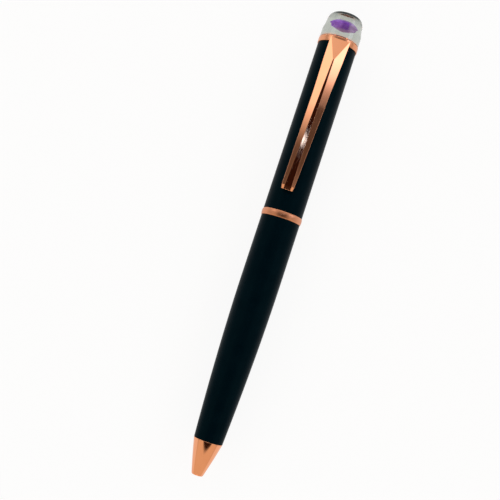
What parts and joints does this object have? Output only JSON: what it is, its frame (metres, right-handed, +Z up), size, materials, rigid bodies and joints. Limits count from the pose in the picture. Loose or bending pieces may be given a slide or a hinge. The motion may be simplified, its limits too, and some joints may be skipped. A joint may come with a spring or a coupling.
{
  "type": "ballpoint pen",
  "caption": "Twist-action ballpoint pen with a dark lacquered barrel, rose-gold trim, a faceted clip and a violet cut stone in a clear dome.",
  "frame": {"origin": "middle of the pen's length, on the surface that the pen lies on, below its axis", "axes": "+X along the pen from the nose to the dome, +Z up through the clip, +Y across"},
  "size_m": [0.14, 0.012, 0.0143],
  "materials": {
    "rose_gold": "polished rose-gold plate on brass",
    "lacquer": "satin black-teal lacquer on brass tube",
    "brass": "turned brass",
    "tip_brass": "turned brass writing tip",
    "steel": "bright steel",
    "refill_metal": "drawn metal tube",
    "nylon": "natural nylon",
    "rubber": "black rubber",
    "clear_acrylic": "clear polished acrylic",
    "violet_stone": "polished violet cut stone"
  },
  "bodies": {
    "lower_half": {"nose_cone": "rose_gold", "lower_barrel": "lacquer", "coupling_bush": "brass", "centre_ring": "rose_gold", "friction_ring": "rubber", "guide_tube": "brass", "thrust_washer": "nylon", "retaining_ring": "steel", "return_spring": "steel"},
    "upper_half": {"upper_barrel": "lacquer", "cam_sleeve": "nylon", "drive_bush": "brass", "cap_bush": "brass", "clip_band": "rose_gold", "finial_stud": "steel", "finial_base": "rose_gold", "gem_plug": "clear_acrylic", "gemstone": "violet_stone", "gem_dome": "clear_acrylic"},
    "clip": {"clip": "rose_gold"},
    "refill": {"refill_tube": "refill_metal", "refill_tip": "tip_brass", "tip_ball": "steel", "refill_plug": "nylon", "plunger": "nylon"}
  },
  "joints": [
    {"name": "twist", "type": "hinge", "parent": "lower_half", "child": "upper_half", "pos_m": [0.00833, 0, 0.00602], "axis": [1, 0, 0], "range_deg": [0, 180]},
    {"name": "refill_slide", "type": "slide", "parent": "lower_half", "child": "refill", "axis": [-1, 0, 0], "range_m": [0, 0.005], "deforming": ["return_spring"]},
    {"name": "clip_flex", "type": "hinge", "parent": "upper_half", "child": "clip", "pos_m": [0.06065, 0, 0.01122], "axis": [0, 1, 0], "range_deg": [0, 4], "stiffness_Nm_per_rad": 6, "springref_deg": -1.72}
  ],
  "couplings": [
    {"joint": "twist", "follows": "refill_slide", "rad_per_m": 628.32}
  ]
}
